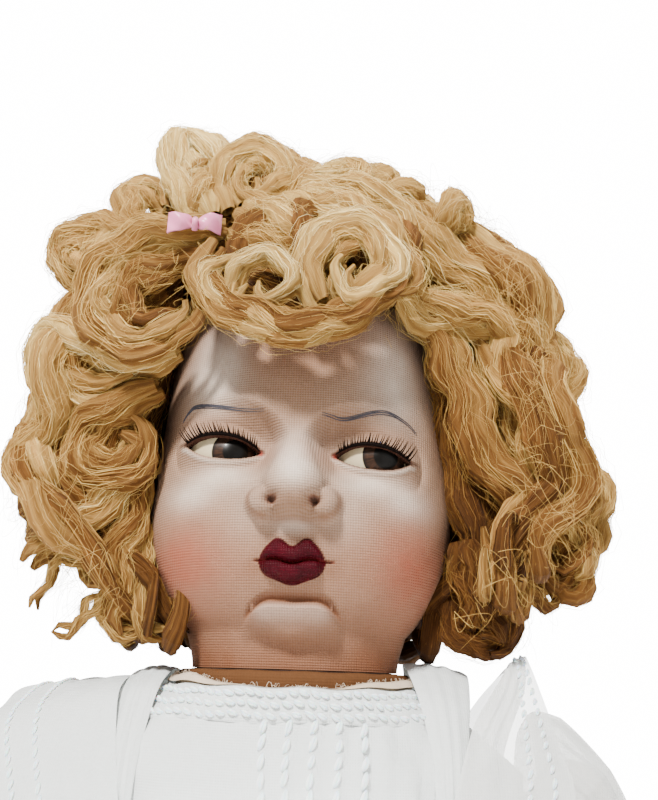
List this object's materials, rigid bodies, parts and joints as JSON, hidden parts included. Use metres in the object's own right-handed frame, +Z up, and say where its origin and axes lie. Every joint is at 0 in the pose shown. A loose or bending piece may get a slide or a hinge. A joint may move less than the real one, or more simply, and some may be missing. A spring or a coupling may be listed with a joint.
{
  "type": "seated ventriloquist figure",
  "caption": "Seated child figure with a cloth face, side-glancing eyes, a small moving lower lip, a curled mohair wig and a sheer dress; worked by a stick through its open back.",
  "frame": {"origin": "middle of the underside of the seat board, straight below the head stick", "axes": "+Z up, -Y the way the figure faces, +X its own left side"},
  "size_m": [0.2602, 0.3421, 0.4],
  "materials": {
    "skin_cloth": "pressed muslin, sized and painted",
    "lip_paint": "painted cloth, glossy",
    "body_cloth": "tan cotton",
    "body_shell": "pressed and varnished card",
    "limb_composition": "painted composition, satin",
    "pale_wood": "planed, unfinished",
    "grip_wood": "turned and oiled",
    "steel_wire": "drawn wire and plate",
    "brass_plate": "cut sheet, dull",
    "felt": "pressed felt",
    "voile": "sheer cotton, matt",
    "stocking": "knitted cotton",
    "mohair": "mohair, soft sheen",
    "wig_net": "stiffened net",
    "satin": "satin ribbon",
    "eye_glass": "blown glass, glossy",
    "lash_hair": "short hair strip",
    "kid_leather": "soft leather, matt",
    "pearl": "pearly"
  },
  "bodies": {
    "body": {"torso_shell": "body_shell", "shoulder_board": "pale_wood", "seat_board": "pale_wood", "hip_block": "pale_wood", "hip_rod": "steel_wire", "neck_cloth": "body_cloth", "dress_bodice": "voile", "dress_skirt": "voile", "collar_band": "voile", "bretelle_left": "voile", "bretelle_right": "voile", "back_buttons": "pearl"},
    "neck": {"neck_ball": "pale_wood", "neck_washer": "felt"},
    "head": {"face_mask": "skin_cloth", "head_back": "skin_cloth", "neck_disc": "pale_wood", "head_stick": "pale_wood", "stick_grip": "grip_wood", "rod_guide": "pale_wood", "eye_frame": "brass_plate", "axle_blocks": "pale_wood", "jaw_axle": "steel_wire", "jaw_spring": "steel_wire", "lashes_left": "lash_hair", "lashes_right": "lash_hair", "wig_cap": "wig_net", "wig_crown": "mohair", "wig_fringe": "mohair", "wig_side_left": "mohair", "wig_side_right": "mohair", "wig_back": "mohair", "hair_ribbon": "satin"},
    "left_eye": {"eye_left": "eye_glass", "eye_axle_left": "steel_wire"},
    "right_eye": {"eye_right": "eye_glass", "eye_axle_right": "steel_wire"},
    "eye_control": {"eye_rod": "steel_wire", "eye_lever": "brass_plate"},
    "eye_bar": {"eye_link": "brass_plate"},
    "lower_jaw": {"jaw_plate": "skin_cloth", "lower_lip": "lip_paint"},
    "jaw_control": {"jaw_rod": "steel_wire", "jaw_trigger": "brass_plate"},
    "left_arm": {"arm_left": "limb_composition", "shoulder_bolt_left": "steel_wire", "sleeve_left": "voile"},
    "right_arm": {"arm_right": "limb_composition", "shoulder_bolt_right": "steel_wire", "sleeve_right": "voile"},
    "left_leg": {"leg_left": "limb_composition", "bloomer_left": "voile", "sock_left": "stocking", "shoe_left": "kid_leather", "shoe_strap_left": "kid_leather"},
    "right_leg": {"leg_right": "limb_composition", "bloomer_right": "voile", "sock_right": "stocking", "shoe_right": "kid_leather", "shoe_strap_right": "kid_leather"}
  },
  "joints": [
    {"name": "head_nod", "type": "hinge", "parent": "body", "child": "neck", "pos_m": [0, 0, 0.192], "axis": [1, 0, 0], "range_deg": [-8, 8]},
    {"name": "head_turn", "type": "hinge", "parent": "neck", "child": "head", "pos_m": [0, 0, 0.214], "axis": [0, 0, 1], "range_deg": [-75, 75]},
    {"name": "eye_lever_turn", "type": "hinge", "parent": "head", "child": "eye_control", "pos_m": [-0.0042, 0, 0.214], "axis": [0, 0, 1], "range_deg": [-38, 0]},
    {"name": "eye_left_turn", "type": "hinge", "parent": "head", "child": "left_eye", "pos_m": [0.0235, -0.029, 0.2785], "axis": [0, 0, 1], "range_deg": [-38, 0]},
    {"name": "eye_right_turn", "type": "hinge", "parent": "head", "child": "right_eye", "pos_m": [-0.0235, -0.029, 0.2785], "axis": [0, 0, 1], "range_deg": [-38, 0]},
    {"name": "eye_bar_swing", "type": "hinge", "parent": "eye_control", "child": "eye_bar", "pos_m": [-0.01039, 0.01796, 0.2925], "axis": [0, 0, 1], "range_deg": [0, 38]},
    {"name": "jaw_pull", "type": "slide", "parent": "head", "child": "jaw_control", "axis": [0, 0, -1], "range_m": [0, 0.0053], "stiffness_N_per_m": 300, "springref_m": -0.004, "deforming": ["jaw_spring"]},
    {"name": "jaw_open", "type": "hinge", "parent": "head", "child": "lower_jaw", "pos_m": [0, 0.008, 0.252], "axis": [1, 0, 0], "range_deg": [0, 8]},
    {"name": "arm_left_swing", "type": "hinge", "parent": "body", "child": "left_arm", "pos_m": [0.09, 0, 0.176], "axis": [-1, 0, 0], "range_deg": [-35, 75]},
    {"name": "arm_right_swing", "type": "hinge", "parent": "body", "child": "right_arm", "pos_m": [-0.09, 0, 0.176], "axis": [-1, 0, 0], "range_deg": [-35, 75]},
    {"name": "leg_left_swing", "type": "hinge", "parent": "body", "child": "left_leg", "pos_m": [0.036, -0.022, 0.026], "axis": [-1, 0, 0], "range_deg": [-90, 8]},
    {"name": "leg_right_swing", "type": "hinge", "parent": "body", "child": "right_leg", "pos_m": [-0.036, -0.022, 0.026], "axis": [-1, 0, 0], "range_deg": [-90, 8]}
  ],
  "couplings": [
    {"joint": "eye_left_turn", "follows": "eye_lever_turn", "ratio": 1},
    {"joint": "eye_right_turn", "follows": "eye_lever_turn", "ratio": 1},
    {"joint": "eye_bar_swing", "follows": "eye_lever_turn", "ratio": -1},
    {"joint": "jaw_open", "follows": "jaw_pull", "rad_per_m": 26.3}
  ]
}
